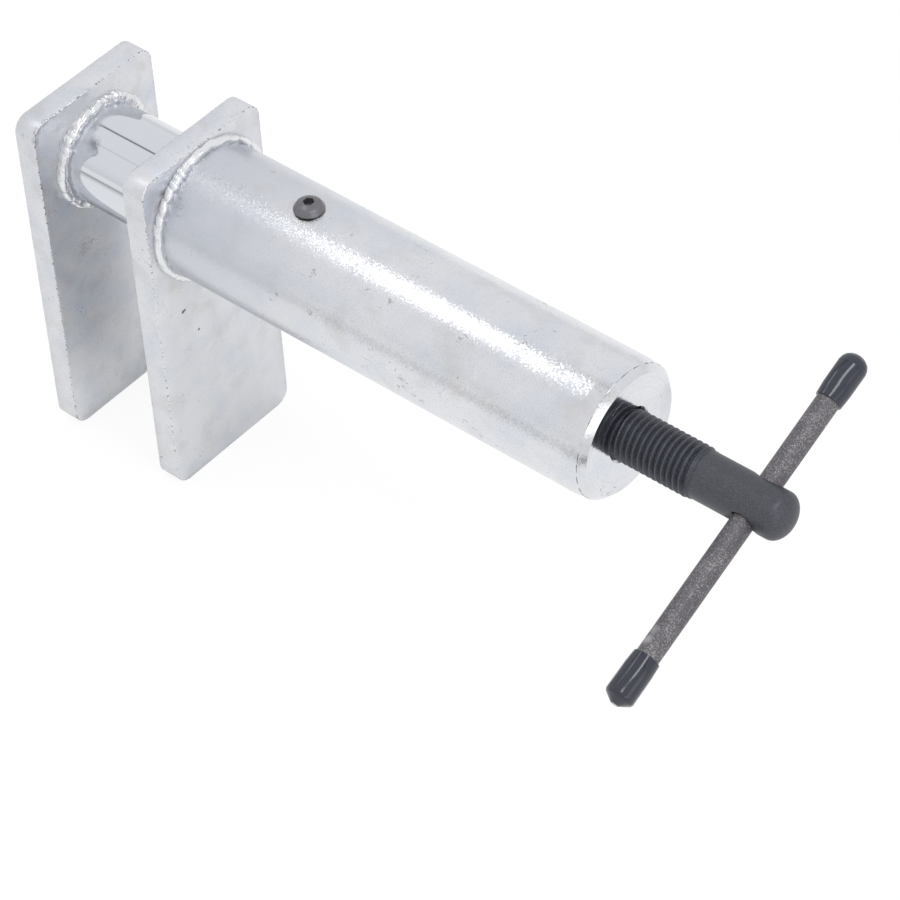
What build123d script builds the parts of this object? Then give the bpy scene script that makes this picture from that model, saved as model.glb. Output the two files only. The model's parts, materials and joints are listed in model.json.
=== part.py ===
"""Brake caliper piston tool: two jaw plates that a T-bar screw pushes apart.

A fixed plate is welded to the front of a thick tube. A ram slides in the tube,
carries the moving plate on its front end, and is keyed by a guide screw so that
the plates stay in line. The drive screw runs in a threaded plug at the tube's
rear and pushes the ram through a ball. Two pins in a groove of its nose pull the
ram back.

Frame: +X along the tool's axis from the jaws to the T-bar, +Z up, the plates
hang down. The origin is on the axis, in the plane of the fixed plate's working
face, where the tube is welded on. Millimetres.
"""
from build123d import *
from math import cos, hypot, radians, sin, sqrt, tan
import os

# Jaw plates
PLATE_MARGIN = 3.8
PLATE_HEIGHT = 120.0
PLATE_THICKNESS = 8.0
PLATE_CORNER = 5.0
PLATE_EDGE = 0.4
TUBE_BELOW_TOP = 2.3
PLATE_BORE_SLIP = 0.5
JAW_GAP = 35.4
CLOSED_GAP = 4.0

# Tube and its threaded end plug
TUBE_OD = 42.4
TUBE_WALL = 5.1
TUBE_LENGTH = 157.3
TUBE_TAPER_RUN = 6.3
TUBE_TAPER_DROP = 0.4
TUBE_CHAMFER = 2.0
PLUG_LENGTH = 26.3
PLUG_FIT = 0.02
PLUG_MOUTH = 0.8
PLUG_LEAD = 1.0
PLUG_WELD_WIDTH = 3.0
PLUG_WELD_DEPTH = 3.0

# Ram, which slides in the tube
RAM_LENGTH = 141.0
RAM_SLIP = 0.1
RAM_LEAD = 1.0
KEYWAY_FLOOR_ROOM = 0.4
KEYWAY_SLIP = 0.1
KEYWAY_END_ROOM = 0.5

# Fillet welds: the foot is on the plate, the toe on the tube or the ram
FIXED_WELD_FOOT = 2.3
MOVING_WELD_FOOT = 3.0
WELD_TOE = 2.75
WELD_CROWN = 0.4

# Guide screw, M5 button head with a dog point
GUIDE_X = 42.0
GUIDE_D = 5.0
GUIDE_HEAD_D = 9.3
GUIDE_HEAD_HEIGHT = 2.75
GUIDE_HEAD_RIM = 0.45
GUIDE_HEAD_FLAT_D = 4.6
GUIDE_HEAD_DOME = 0.45
GUIDE_HEX = 3.0
GUIDE_HEX_DEPTH = 1.7
DOG_D = 3.8
DOG_LENGTH = 3.6
DOG_ENTRY = 2.8

# Drive screw, M16 x 2
THREAD_D = 15.7
THREAD_SLIP = 0.1
THREAD_OUTSIDE = 24.2
THREAD_RUNOUT = 2.5
THREAD_LEAD = 1.0
SHANK_D = 14.5
SHANK_LENGTH = 24.3
DOME_HEIGHT = 4.4
CROSS_HOLE_D = 8.0
CROSS_HOLE_SINK_D = 10.9
CROSS_HOLE_SETBACK = 7.8

# Nose of the drive screw, held in a socket in the ram
NOSE_D = 12.0
NOSE_LENGTH = 18.0
NOSE_SLIP = 0.1
NOSE_CHAMFER = 0.8
SHOULDER_GAP = 1.0
DRILL_POINT = 118.0
BALL_D = 8.0
BALL_SLACK = 0.1
BALL_FIT = 0.02
PIN_D = 4.0
PIN_END_INSET = 0.3
PIN_FIT = 0.02
PIN_SETBACK = 8.0
PIN_SLACK = 0.1
PIN_CHAMFER = 0.3
GROOVE_DEPTH = 2.0

# T-bar and its dipped caps
BAR_D = 7.0
BAR_LENGTH = 115.0
BAR_SHIFT = -8.5
BAR_ANGLE = 22.7
BAR_CHAMFER = 0.6
CAP_LENGTH = 15.4
CAP_END = 1.2
CAP_FIT = 0.02
CAP_MOUTH_D = 8.2
CAP_BODY_D = 8.7
CAP_MOUTH_RUN = 4.0
CAP_NOSE = 3.2
CAP_FLAT_D = 2.4
CAP_NOSE_DOME = 0.9

# Places worked out from the sizes above
tube_r = TUBE_OD / 2
bore_r = tube_r - TUBE_WALL
ram_r = bore_r - RAM_SLIP
plate_width = TUBE_OD + 2 * PLATE_MARGIN
plate_top = tube_r + TUBE_BELOW_TOP
guide_length = TUBE_WALL + RAM_SLIP + DOG_ENTRY
keyway_depth = DOG_ENTRY + KEYWAY_FLOOR_ROOM
thread_r = THREAD_D / 2
nut_r = thread_r + THREAD_SLIP
shank_r = SHANK_D / 2
nose_r = NOSE_D / 2
socket_r = nose_r + NOSE_SLIP
bar_r = BAR_D / 2
ram_front = -PLATE_THICKNESS - JAW_GAP
ram_rear = ram_front + RAM_LENGTH
close_travel = JAW_GAP - CLOSED_GAP
open_travel = THREAD_OUTSIDE
plug_front = TUBE_LENGTH - PLUG_LENGTH
thread_front = ram_rear + SHOULDER_GAP
thread_rear = TUBE_LENGTH + THREAD_OUTSIDE
shank_front = thread_rear + THREAD_RUNOUT
shank_rear = shank_front + SHANK_LENGTH
cross_hole_x = shank_rear - CROSS_HOLE_SETBACK
nose_end = thread_front - NOSE_LENGTH
pin_x = ram_rear - PIN_SETBACK
groove_r = nose_r - GROOVE_DEPTH
pin_offset = groove_r + PIN_SLACK + PIN_D / 2
pin_length = 2 * (sqrt(ram_r**2 - (pin_offset + PIN_D / 2) ** 2) - PIN_END_INSET)
half_point = radians(DRILL_POINT / 2)
ball_x = nose_end - BALL_SLACK - BALL_D / 2
socket_tip = ball_x - (BALL_D / 2 + BALL_FIT) / sin(half_point)
socket_floor = socket_tip + socket_r / tan(half_point)
bar_way = Plane(
    origin=(cross_hole_x, 0, 0),
    x_dir=(1, 0, 0),
    z_dir=(0, cos(radians(BAR_ANGLE)), sin(radians(BAR_ANGLE))),
)


def turned(*points):
    """A solid turned about the X axis from (x, radius) corners."""
    return revolve(Plane.XZ * make_face(Polyline(*points, close=True)), Axis.X)


def lifted(start, end, height):
    """The middle of the straight line between two points, lifted to its left."""
    along, up = end[0] - start[0], end[1] - start[1]
    lift = height / hypot(along, up)
    return (start[0] + along / 2 - up * lift, start[1] + up / 2 + along * lift)


def rod_x(radius, x_from, x_to):
    """A round bar along X."""
    return turned((x_from, 0), (x_to, 0), (x_to, radius), (x_from, radius))


def plate(front_x):
    """One jaw plate: rolled flat bar with rounded corners and broken edges."""
    outline = RectangleRounded(plate_width, PLATE_HEIGHT, PLATE_CORNER)
    centre_z = plate_top - PLATE_HEIGHT / 2
    blank = extrude(Plane.YZ.offset(front_x) * Pos(0, centre_z) * outline, PLATE_THICKNESS)
    faces = blank.faces().filter_by(Axis.X)
    return chamfer(faces.edges(), PLATE_EDGE)


def bead(x, radius, foot):
    """A fillet weld in the corner between a plate's face at x and a round of this radius."""
    on_plate = (x, radius + foot)
    on_round = (x + WELD_TOE, radius)
    return turned(on_plate, lifted(on_plate, on_round, WELD_CROWN), on_round, (x, radius))


def fixed_plate():
    """The jaw that the tube is welded to, bored for the ram."""
    bore = rod_x(ram_r + PLATE_BORE_SLIP, -PLATE_THICKNESS, 0)
    return plate(-PLATE_THICKNESS) - bore


def fixed_plate_weld():
    """The bead round the tube, which stops at the plate's broken top edge."""
    room = Box(WELD_TOE, plate_width, PLATE_HEIGHT, align=(Align.MIN, Align.CENTER, Align.MAX))
    return bead(0, tube_r, FIXED_WELD_FOOT) & Pos(0, 0, plate_top - PLATE_EDGE) * room


def body_tube():
    """Thick tube, eased off and chamfered at the rear, with the guide screw's hole."""
    chamfer_r = tube_r - TUBE_TAPER_DROP
    blank = turned(
        (0, bore_r),
        (TUBE_LENGTH, bore_r),
        (TUBE_LENGTH, chamfer_r - TUBE_CHAMFER),
        (TUBE_LENGTH - TUBE_CHAMFER, chamfer_r),
        (TUBE_LENGTH - TUBE_TAPER_RUN, tube_r),
        (0, tube_r),
    )
    from_axis = (Align.CENTER, Align.CENTER, Align.MIN)
    guide_hole = Pos(GUIDE_X, 0, 0) * Cylinder(GUIDE_D / 2, TUBE_OD, align=from_axis)
    return blank - guide_hole - end_plug_weld()


def end_plug():
    """Threaded plug welded into the tube's rear. Its bore clears the screw's crests."""
    plug_r = bore_r - PLUG_FIT
    blank = turned(
        (plug_front, nut_r + PLUG_MOUTH),
        (plug_front, plug_r - PLUG_LEAD),
        (plug_front + PLUG_LEAD, plug_r),
        (TUBE_LENGTH, plug_r),
        (TUBE_LENGTH, nut_r + PLUG_MOUTH),
        (TUBE_LENGTH - PLUG_MOUTH, nut_r),
        (plug_front + PLUG_MOUTH, nut_r),
    )
    return blank - end_plug_weld()


def end_plug_weld():
    """The weld between plug and tube, turned flush with the end face."""
    return turned(
        (TUBE_LENGTH, bore_r - PLUG_WELD_WIDTH / 2),
        (TUBE_LENGTH, bore_r + PLUG_WELD_WIDTH / 2),
        (TUBE_LENGTH - PLUG_WELD_DEPTH, bore_r),
    )


def guide_screw():
    """Button head socket screw whose dog point runs in the ram's keyway."""
    head_r = GUIDE_HEAD_D / 2
    flat_r = GUIDE_HEAD_FLAT_D / 2
    dog_r = DOG_D / 2
    thread_end = DOG_LENGTH - guide_length
    crown = (flat_r, GUIDE_HEAD_HEIGHT)
    rim = (head_r, GUIDE_HEAD_RIM)
    outline = Polyline(
        crown,
        lifted(crown, rim, GUIDE_HEAD_DOME),
        rim,
        (head_r, 0),
        (GUIDE_D / 2, 0),
        (GUIDE_D / 2, thread_end),
        (dog_r, thread_end),
        (dog_r, -guide_length),
        (0, -guide_length),
        (0, GUIDE_HEAD_HEIGHT),
        close=True,
    )
    screw = revolve(Plane.XZ * make_face(outline), Axis.Z)
    hexagon = RegularPolygon(GUIDE_HEX / 2, 6, major_radius=False)
    screw -= extrude(Pos(0, 0, GUIDE_HEAD_HEIGHT) * hexagon, -GUIDE_HEX_DEPTH)
    return Pos(GUIDE_X, 0, tube_r) * screw


def ram():
    """Plated round bar with a keyway on top and a drilled socket for the screw's nose."""
    blank = turned(
        (ram_front, 0),
        (ram_front, ram_r),
        (ram_rear - RAM_LEAD, ram_r),
        (ram_rear, ram_r - RAM_LEAD),
        (ram_rear, socket_r),
        (socket_floor, socket_r),
        (socket_tip, 0),
    )
    slot_from = GUIDE_X - close_travel - KEYWAY_END_ROOM
    slot_to = GUIDE_X + open_travel + KEYWAY_END_ROOM
    slot = SlotCenterToCenter(slot_to - slot_from, DOG_D + 2 * KEYWAY_SLIP)
    slot_floor = Pos((slot_from + slot_to) / 2, 0, ram_r - keyway_depth)
    keyway = extrude(slot_floor * slot, 2 * keyway_depth)
    return blank - keyway - nose_pins(PIN_FIT, TUBE_OD)


def nose_pins(clearance=0.0, length=pin_length):
    """The two cross pins in the nose's groove, just short of the ram's skin, or their holes."""
    pin = Rot(90, 0, 0) * Cylinder(PIN_D / 2 + clearance, length)
    if not clearance:
        pin = chamfer(pin.edges(), PIN_CHAMFER)
    return Part() + [Pos(pin_x, 0, side * pin_offset) * pin for side in (-1, 1)]


def thrust_ball():
    """The ball that takes the screw's thrust on the socket's cone."""
    return Pos(ball_x, 0, 0) * Sphere(BALL_D / 2)


def drive_screw():
    """The screw: grooved nose, thread (to its crests), shank, cross hole and domed end."""
    groove_half = PIN_D / 2 + PIN_SLACK
    outline = Polyline(
        (nose_end, 0),
        (nose_end, nose_r - NOSE_CHAMFER),
        (nose_end + NOSE_CHAMFER, nose_r),
        (pin_x - groove_half, nose_r),
        (pin_x - groove_half, groove_r),
        (pin_x + groove_half, groove_r),
        (pin_x + groove_half, nose_r),
        (thread_front, nose_r),
        (thread_front, thread_r - THREAD_LEAD),
        (thread_front + THREAD_LEAD, thread_r),
        (thread_rear, thread_r),
        (shank_front, shank_r),
        (shank_rear, shank_r),
    )
    tip = shank_rear + DOME_HEIGHT
    dome_r = (shank_r**2 + DOME_HEIGHT**2) / (2 * DOME_HEIGHT)
    dome = RadiusArc((shank_rear, shank_r), (tip, 0), dome_r)
    back = Line((tip, 0), (nose_end, 0))
    screw = revolve(Plane.XZ * make_face(outline + dome + back), Axis.X)

    sink_r = CROSS_HOLE_SINK_D / 2
    from_tip = (Align.CENTER, Align.CENTER, Align.MIN)
    sink = Pos(0, 0, shank_r - sink_r) * Cone(0, 2 * sink_r, 2 * sink_r, align=from_tip)
    hole = Cylinder(CROSS_HOLE_D / 2, 2 * SHANK_D) + sink + Rot(180, 0, 0) * sink
    return screw - bar_way * hole


def tommy_bar():
    """The T-bar, free to slide in the cross hole until a cap stops it."""
    bar = chamfer(Cylinder(bar_r, BAR_LENGTH).edges(), BAR_CHAMFER)
    return bar_way * Pos(0, 0, BAR_SHIFT) * bar


def bar_cap(side):
    """A dipped vinyl cap, snug at its mouth and thicker towards the closed end."""
    bar_end = BAR_LENGTH / 2
    tip = bar_end + CAP_END
    mouth = tip - CAP_LENGTH
    inner_r = bar_r + CAP_FIT
    floor = bar_end + CAP_FIT
    body_r = CAP_BODY_D / 2
    nose = (CAP_FLAT_D / 2, tip)
    shoulder = (body_r, tip - CAP_NOSE)
    outline = Polyline(
        nose,
        lifted(nose, shoulder, CAP_NOSE_DOME),
        shoulder,
        (body_r, mouth + CAP_MOUTH_RUN),
        (CAP_MOUTH_D / 2, mouth),
        (inner_r, mouth),
        (inner_r, floor),
        (0, floor),
        (0, tip),
        close=True,
    )
    cap = revolve(Plane.XZ * make_face(outline), Axis.Z)
    return bar_way * Pos(0, 0, BAR_SHIFT) * Rot(90 - 90 * side, 0, 0) * cap


parts = {
    "body_tube": body_tube(),
    "end_plug": end_plug(),
    "end_plug_weld": end_plug_weld(),
    "fixed_plate": fixed_plate(),
    "fixed_plate_weld": fixed_plate_weld(),
    "guide_screw": guide_screw(),
    "ram": ram(),
    "moving_plate": plate(ram_front - PLATE_THICKNESS),
    "moving_plate_weld": bead(ram_front, ram_r, MOVING_WELD_FOOT),
    "thrust_ball": thrust_ball(),
    "nose_pins": nose_pins(),
    "drive_screw": drive_screw(),
    "tommy_bar": tommy_bar(),
    "lower_bar_cap": bar_cap(-1),
    "upper_bar_cap": bar_cap(1),
}

os.makedirs("parts", exist_ok=True)
for name, part in parts.items():
    export_step(part, f"parts/{name}.step")

print(f"{len(parts)} parts, jaw gap {CLOSED_GAP:.1f} to {JAW_GAP + open_travel:.1f} mm")
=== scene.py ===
"""Looks of the brake caliper piston tool: its pieces and finishes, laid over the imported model."""
import json
import random
from functools import partial
from math import ceil, cos, pi, radians, sin, tan, tau

import bpy
from bpy.props import FloatProperty, FloatVectorProperty, PointerProperty
from mathutils import Matrix, Vector


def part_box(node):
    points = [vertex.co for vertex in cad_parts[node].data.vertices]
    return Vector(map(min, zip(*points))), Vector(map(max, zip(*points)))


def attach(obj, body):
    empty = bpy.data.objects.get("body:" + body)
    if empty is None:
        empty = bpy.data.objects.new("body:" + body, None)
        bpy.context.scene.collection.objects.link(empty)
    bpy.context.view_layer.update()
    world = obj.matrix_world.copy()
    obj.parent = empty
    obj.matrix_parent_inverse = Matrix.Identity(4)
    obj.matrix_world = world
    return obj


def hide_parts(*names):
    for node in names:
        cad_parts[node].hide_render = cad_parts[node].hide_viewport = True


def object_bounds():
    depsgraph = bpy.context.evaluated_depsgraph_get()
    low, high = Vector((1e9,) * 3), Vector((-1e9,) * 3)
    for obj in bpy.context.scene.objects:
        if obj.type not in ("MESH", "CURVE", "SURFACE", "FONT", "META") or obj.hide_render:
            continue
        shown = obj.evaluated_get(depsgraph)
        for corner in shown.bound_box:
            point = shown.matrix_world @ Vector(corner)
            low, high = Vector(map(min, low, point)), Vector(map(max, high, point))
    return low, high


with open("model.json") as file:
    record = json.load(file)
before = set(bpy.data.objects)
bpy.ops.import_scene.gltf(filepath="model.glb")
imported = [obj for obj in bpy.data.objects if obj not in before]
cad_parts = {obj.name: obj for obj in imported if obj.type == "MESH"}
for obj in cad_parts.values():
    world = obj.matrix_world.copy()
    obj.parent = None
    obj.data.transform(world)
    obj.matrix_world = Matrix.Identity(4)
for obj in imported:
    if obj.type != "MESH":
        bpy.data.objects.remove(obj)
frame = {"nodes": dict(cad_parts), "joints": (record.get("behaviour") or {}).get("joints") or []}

bl_info = {
    "name": "Brake caliper piston tool",
    "version": (1, 0, 0),
    "blender": (4, 5, 0),
    "location": "3D View > Sidebar > Piston tool",
    "description": "Models the tool's pieces and finishes over its packed model",
    "category": "Object",
}

MM = 0.001
# Points nearer to each other than this are one
TOUCH = 0.0005 * MM
# A glow that the camera and mirrors see as pure white, with a little to spare
PURE_WHITE = 1.06
CAD_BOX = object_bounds()

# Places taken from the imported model, in metres
tube_low, tube_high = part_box("body_tube")
plug_low, plug_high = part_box("end_plug")
fixed_low, fixed_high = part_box("fixed_plate")
moving_low, moving_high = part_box("moving_plate")
ram_low, ram_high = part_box("ram")
ball_low, ball_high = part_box("thrust_ball")
screw_low, screw_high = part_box("drive_screw")
guide_low, guide_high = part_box("guide_screw")
bar_low, bar_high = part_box("tommy_bar")
tube_r = tube_high.z
bore_r = plug_high.z
ram_r = ram_high.z
thread_r = screw_high.y
joint_axes = {joint["name"]: Vector(joint["axis"]) for joint in frame["joints"]}
bar_axis = joint_axes["bar_slide"]
bar_centre = (bar_low + bar_high) / 2
cross_hole = Vector((bar_centre.x, 0, 0))


def linear(code):
    """A colour written as sRGB hex, in the linear numbers that the shaders take."""
    parts = [int(code[place : place + 2], 16) / 255 for place in (1, 3, 5)]
    return [part / 12.92 if part <= 0.04045 else ((part + 0.055) / 1.055) ** 2.4 for part in parts]


def size(name, description, default):
    """A length that a user can change."""
    return FloatProperty(name=name, description=description, default=default, min=0, unit="LENGTH")


def colour(name, description, code):
    """A colour that a user can change."""
    return FloatVectorProperty(
        name=name, description=description, default=linear(code), min=0, max=1, subtype="COLOR"
    )


class ToolSizes(bpy.types.PropertyGroup):
    thread_pitch: size("Thread pitch", "Rise of the drive screw's thread in one turn", 2.0 * MM)
    thread_depth: size("Thread depth", "From the crest to the root", 1.1 * MM)
    shank: size("Shank radius", "Plain end of the drive screw", 7.25 * MM)
    shank_start: size("Shank start", "Where the thread has run out", 184.0 * MM)
    tip_height: size("Tip height", "Rise of the drive screw's domed end", 4.7 * MM)
    nose: size("Nose radius", "Plain front end of the drive screw", 6.0 * MM)
    thread_start: size("Thread start", "Shoulder between the nose and the thread", 98.6 * MM)
    cross_hole: size("Cross hole", "Radius of the hole for the T-bar", 4.0 * MM)
    sink: size("Countersink", "Radius of the cross hole's countersinks", 5.45 * MM)
    plate_corner: size("Plate corner", "Radius of a jaw plate's corners", 5.0 * MM)
    plate_edge: size("Plate edge", "Rounding of a jaw plate's edges", 0.35 * MM)
    plate_bore: size("Plate bore", "Radius of the hole for the ram", 16.5 * MM)
    keyway: size("Keyway", "Width of the ram's keyway", 4.0 * MM)
    keyway_depth: size("Keyway depth", "Depth of the ram's keyway", 3.2 * MM)
    keyway_start: size("Keyway start", "Front end of the keyway", 8.1 * MM)
    keyway_end: size("Keyway end", "Rear end of the keyway", 68.7 * MM)
    weld_voxel: size("Weld grain", "Size of the cells that the weld lumps melt into", 0.18 * MM)


class ToolColours(bpy.types.PropertyGroup):
    zinc: colour("Zinc", "Bright zinc plating", "#E0E1E4")
    zinc_blue: colour("Bluish zinc", "Clouds in the plating", "#CFD5DE")
    zinc_dull: colour("Dull zinc", "Where the plating is thin or rubbed", "#CBC9C7")
    # Painted shade that the plate casts on the tube beside the weld
    zinc_straw: colour("Straw zinc", "Tinge of the plating round the guide screw", "#CDC7B4")
    plate_shade_zinc: colour("Zinc in plate shade", "Plating beside the weld", "#BDC1CA")
    stain: colour("Stains", "Brown marks left by the bath and by handling", "#8A8178")
    # Also the painted shade down in the weld's creases
    pit_and_painted_shade: colour("Pits", "Dark specks and nicks", "#5F6064")
    weld: colour("Weld", "Plated weld metal", "#E6E7E9")
    ram: colour("Ram", "Ground and bright plated bar", "#D6D9DE")
    # Also the painted shadow round the foot of the guide screw's head
    oxide: colour("Black oxide", "Flanks and roots of the drive screw's thread", "#393C45")
    oxide_crest: colour("Rubbed oxide", "Crests of the thread", "#5A5D66")
    oxide_shank: colour("Shank oxide", "The drive screw's plain end", "#484A51")
    phosphate: colour("Phosphate", "The T-bar", "#5E5C60")
    phosphate_fleck: colour("Phosphate flecks", "Light crystals on the T-bar", "#9C999B")
    bare_steel: colour("Bare steel", "Where the T-bar is worn through", "#C4C2C4")
    vinyl: colour("Vinyl", "The dipped caps", "#2A2D3A")
    screw: colour("Guide screw", "Blackened screw", "#757479")
    hardened: colour("Hardened steel", "Ball and pins", "#B9B9BC")
    floor: colour("Floor", "Pale paper sweep", "#F4F4F4")


def only(piece):
    """Makes this the one selected and active object."""
    bpy.ops.object.select_all(action="DESELECT")
    piece.select_set(True)
    bpy.context.view_layer.objects.active = piece


def added(primitive, **settings):
    """Adds a primitive, a lamp or a camera with nothing else selected, and hands it over."""
    bpy.ops.object.select_all(action="DESELECT")
    primitive(**settings)
    return bpy.context.object


def join(piece, others):
    """Makes other objects part of this one."""
    only(piece)
    for other in others:
        other.select_set(True)
    bpy.ops.object.join()


def modify(piece, kind, **settings):
    """Adds a modifier with its settings and applies it."""
    only(piece)
    bpy.ops.object.modifier_add(type=kind)
    modifier = piece.modifiers[-1]
    for setting, value in settings.items():
        setattr(modifier, setting, value)
    bpy.ops.object.modifier_apply(modifier=modifier.name)


def cut(piece, cutter):
    """Takes the cutter's shape out of a piece and removes the cutter."""
    modify(piece, "BOOLEAN", operation="DIFFERENCE", object=cutter, solver="EXACT")
    bpy.data.objects.remove(cutter)


def place(piece, matrix):
    """Moves a piece by a matrix and keeps the place in its mesh."""
    only(piece)
    piece.matrix_world = matrix @ piece.matrix_world
    bpy.ops.object.transform_apply(location=True, rotation=True, scale=True)


def along_bar(turned_round=False):
    """The matrix that lays a shape turned about X along the T-bar's axis."""
    axis = -bar_axis if turned_round else bar_axis
    turn = axis.to_track_quat("X", "Z").to_matrix().to_4x4()
    return Matrix.Translation(cross_hole) @ turn


def rounded(corners, steps=6):
    """An outline's points, where a corner (x, r, radius) becomes an arc."""
    points = []
    for number, (x, r, radius) in enumerate(corners):
        corner = Vector((x, r))
        if not radius:
            points.append(corner)
            continue
        back = (Vector(corners[number - 1][:2]) - corner).normalized()
        ahead = (Vector(corners[(number + 1) % len(corners)][:2]) - corner).normalized()
        half = back.angle(ahead) / 2
        centre = corner + (back + ahead).normalized() * radius / sin(half)
        start = corner + back * radius / tan(half) - centre
        turn = (pi - 2 * half) * (1 if back.cross(ahead) < 0 else -1)
        for step in range(steps + 1):
            points.append(centre + Matrix.Rotation(turn * step / steps, 2) @ start)
    return points


def line_up(name, points):
    """A new object holding one line through (x, z) points."""
    piece = added(bpy.ops.mesh.primitive_plane_add, size=MM)
    piece.name = piece.data.name = name
    bpy.ops.object.mode_set(mode="EDIT")
    bpy.ops.mesh.merge(type="CENTER")
    bpy.ops.transform.translate(value=(points[0][0], 0, points[0][1]))
    for here, there in zip(points, points[1:]):
        step = (there[0] - here[0], 0, there[1] - here[1])
        bpy.ops.mesh.extrude_vertices_move(TRANSFORM_OT_translate={"value": step})
    bpy.ops.mesh.select_all(action="SELECT")
    return piece


def close_up():
    """Joins what meets in the mesh being edited, turns its faces outwards and leaves it."""
    bpy.ops.mesh.select_all(action="SELECT")
    bpy.ops.mesh.remove_doubles(threshold=TOUCH)
    bpy.ops.mesh.normals_make_consistent(inside=False)
    bpy.ops.object.mode_set(mode="OBJECT")


def pick(piece, is_wanted):
    """Selects the vertices whose places pass a test, and goes on editing the piece."""
    bpy.ops.object.mode_set(mode="EDIT")
    bpy.ops.mesh.select_all(action="DESELECT")
    bpy.ops.object.mode_set(mode="OBJECT")
    for vertex in piece.data.vertices:
        vertex.select = is_wanted(vertex.co)
    bpy.ops.object.mode_set(mode="EDIT")


def block(name, low, high, radius, upright):
    """A block between two corners, whose edges along one axis are rounded."""
    cube = bpy.ops.mesh.primitive_cube_add
    piece = added(cube, size=1, location=(low + high) / 2, scale=high - low)
    piece.name = piece.data.name = name
    bpy.ops.object.transform_apply(location=True, rotation=True, scale=True)
    bpy.ops.object.mode_set(mode="EDIT")
    bpy.ops.mesh.select_mode(type="EDGE")
    bpy.ops.mesh.select_all(action="DESELECT")
    bpy.ops.object.mode_set(mode="OBJECT")
    for edge in piece.data.edges:
        first, second = (piece.data.vertices[index].co for index in edge.vertices)
        edge.select = abs(first[upright] - second[upright]) > TOUCH
    bpy.ops.object.mode_set(mode="EDIT")
    bpy.ops.mesh.bevel(offset=radius, segments=12)
    bpy.ops.mesh.select_mode(type="VERT")
    close_up()
    return piece


def turned(name, corners, around=192, ring=False):
    """A piece turned about X. A ring's outline closes on itself, others end on the axis."""
    points = rounded(corners)
    piece = line_up(name, points + points[:1] if ring else points)
    bpy.ops.mesh.spin(steps=around, angle=tau, center=(0, 0, 0), axis=(1, 0, 0))
    close_up()
    return piece


def dress(piece, body, slot, material, *nodes, angle=35):
    """Shades a finished piece, gives it its finish and lets it stand for its nodes."""
    only(piece)
    bpy.ops.object.shade_smooth_by_angle(angle=radians(angle))
    if not piece.data.materials:
        piece.data.materials.append(material)
    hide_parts(*nodes)
    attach(piece, body)


def add_node(tree, kind, inputs=None, **settings):
    """Adds a node, sets it up and fills its inputs with values, sockets or other nodes' results."""
    node = tree.nodes.new("ShaderNode" + kind)
    for setting, value in settings.items():
        setattr(node, setting, value)
    for name, value in (inputs or {}).items():
        socket = next(entry for entry in node.inputs if entry.identifier == name)
        if isinstance(value, bpy.types.Node):
            value = next(entry for entry in value.outputs if entry.enabled)
        if isinstance(value, bpy.types.NodeSocket):
            tree.links.new(value, socket)
        else:
            socket.default_value = value
    return node


def rgba(value):
    """A colour with its alpha."""
    return (*value, 1)


def new_material(name):
    """An empty node material, what adds nodes to it, and the place on the piece in metres."""
    material = bpy.data.materials.new(name)
    material.use_nodes = True
    material.node_tree.nodes.clear()
    node = partial(add_node, material.node_tree)
    return material, node, node("TexCoord").outputs["Object"]


def new_finish(name, surface, colours):
    """A material for which one of the functions below works out its surface's inputs."""
    material, node, where = new_material(name)
    node("OutputMaterial", {"Surface": node("BsdfPrincipled", surface(node, where, colours))})
    return material


def near_places(node, where, places):
    """How near the surface is to any of these (place, radius): 1 there, 0 a radius away."""
    nearest = None
    for spot, radius in places:
        away = node("VectorMath", {"Vector": where, "Vector_001": spot}, operation="DISTANCE")
        fall = {"Value": away.outputs["Value"], "From Max": radius, "To Min": 1, "To Max": 0}
        share = node("MapRange", fall)
        if nearest:
            share = node("Math", {"Value": nearest, "Value_001": share}, operation="MAXIMUM")
        nearest = share
    return nearest


def tinted(node, base, tint, value, low, high, most=1.0):
    """The base colour with a tint mixed in as a value goes from low to high, up to this share."""
    share = node("MapRange", {"Value": value, "From Min": low, "From Max": high, "To Max": most})
    mix = {"Factor_Float": share, "A_Color": base, "B_Color": rgba(tint)}
    return node("Mix", mix, data_type="RGBA")


def marked(node, base, tint, noise, near, low, high, most):
    """The base colour with a tint mixed in where this noise is strong and the marks are near."""
    both = node("Math", {"Value": noise, "Value_001": near}, operation="MULTIPLY")
    return tinted(node, base, tint, both, low, high, most)


def uneven(node, where, width, detail, low, high, least, most):
    """A roughness that goes from least to most as noise this wide goes from low to high."""
    noise = node("TexNoise", {"Vector": where, "Scale": 1 / width, "Detail": detail})
    spread = {"Value": noise, "From Min": low, "From Max": high, "To Min": least, "To Max": most}
    return node("MapRange", spread)


def away_from(node, value, middle):
    """How far a value is from the middle one, either way."""
    off = node("Math", {"Value": value, "Value_001": middle}, operation="SUBTRACT")
    return node("Math", {"Value": off}, operation="ABSOLUTE")


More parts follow.
